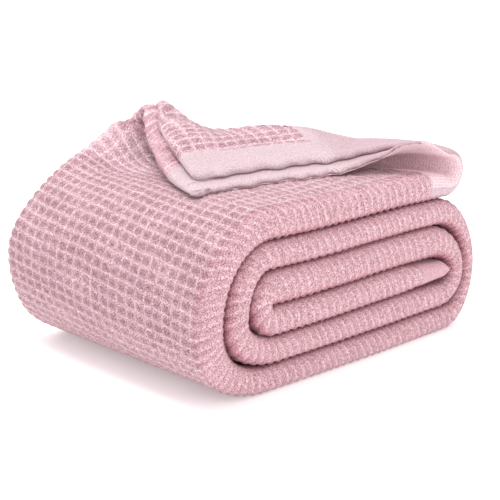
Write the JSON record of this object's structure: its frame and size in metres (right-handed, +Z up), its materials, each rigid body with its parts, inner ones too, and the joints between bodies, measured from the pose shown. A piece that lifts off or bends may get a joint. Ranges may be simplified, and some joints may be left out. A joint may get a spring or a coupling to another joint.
{
  "type": "waffle weave cotton blanket",
  "caption": "Waffle weave blanket folded into a thick strip, rolled flat, with its loose end turned back slantwise over the top.",
  "frame": {"origin": "centre of the blanket's box at the floor", "axes": "+X across the spiral end of the roll, from the wide left bend to the curled fold; +Y along the roll, away from the spiral end that the picture shows; +Z up"},
  "size_m": [0.394, 0.2926, 0.2349],
  "materials": {
    "cloth": "matt cotton"
  },
  "bodies": {
    "root": {"blanket": "cloth"}
  },
  "joints": []
}
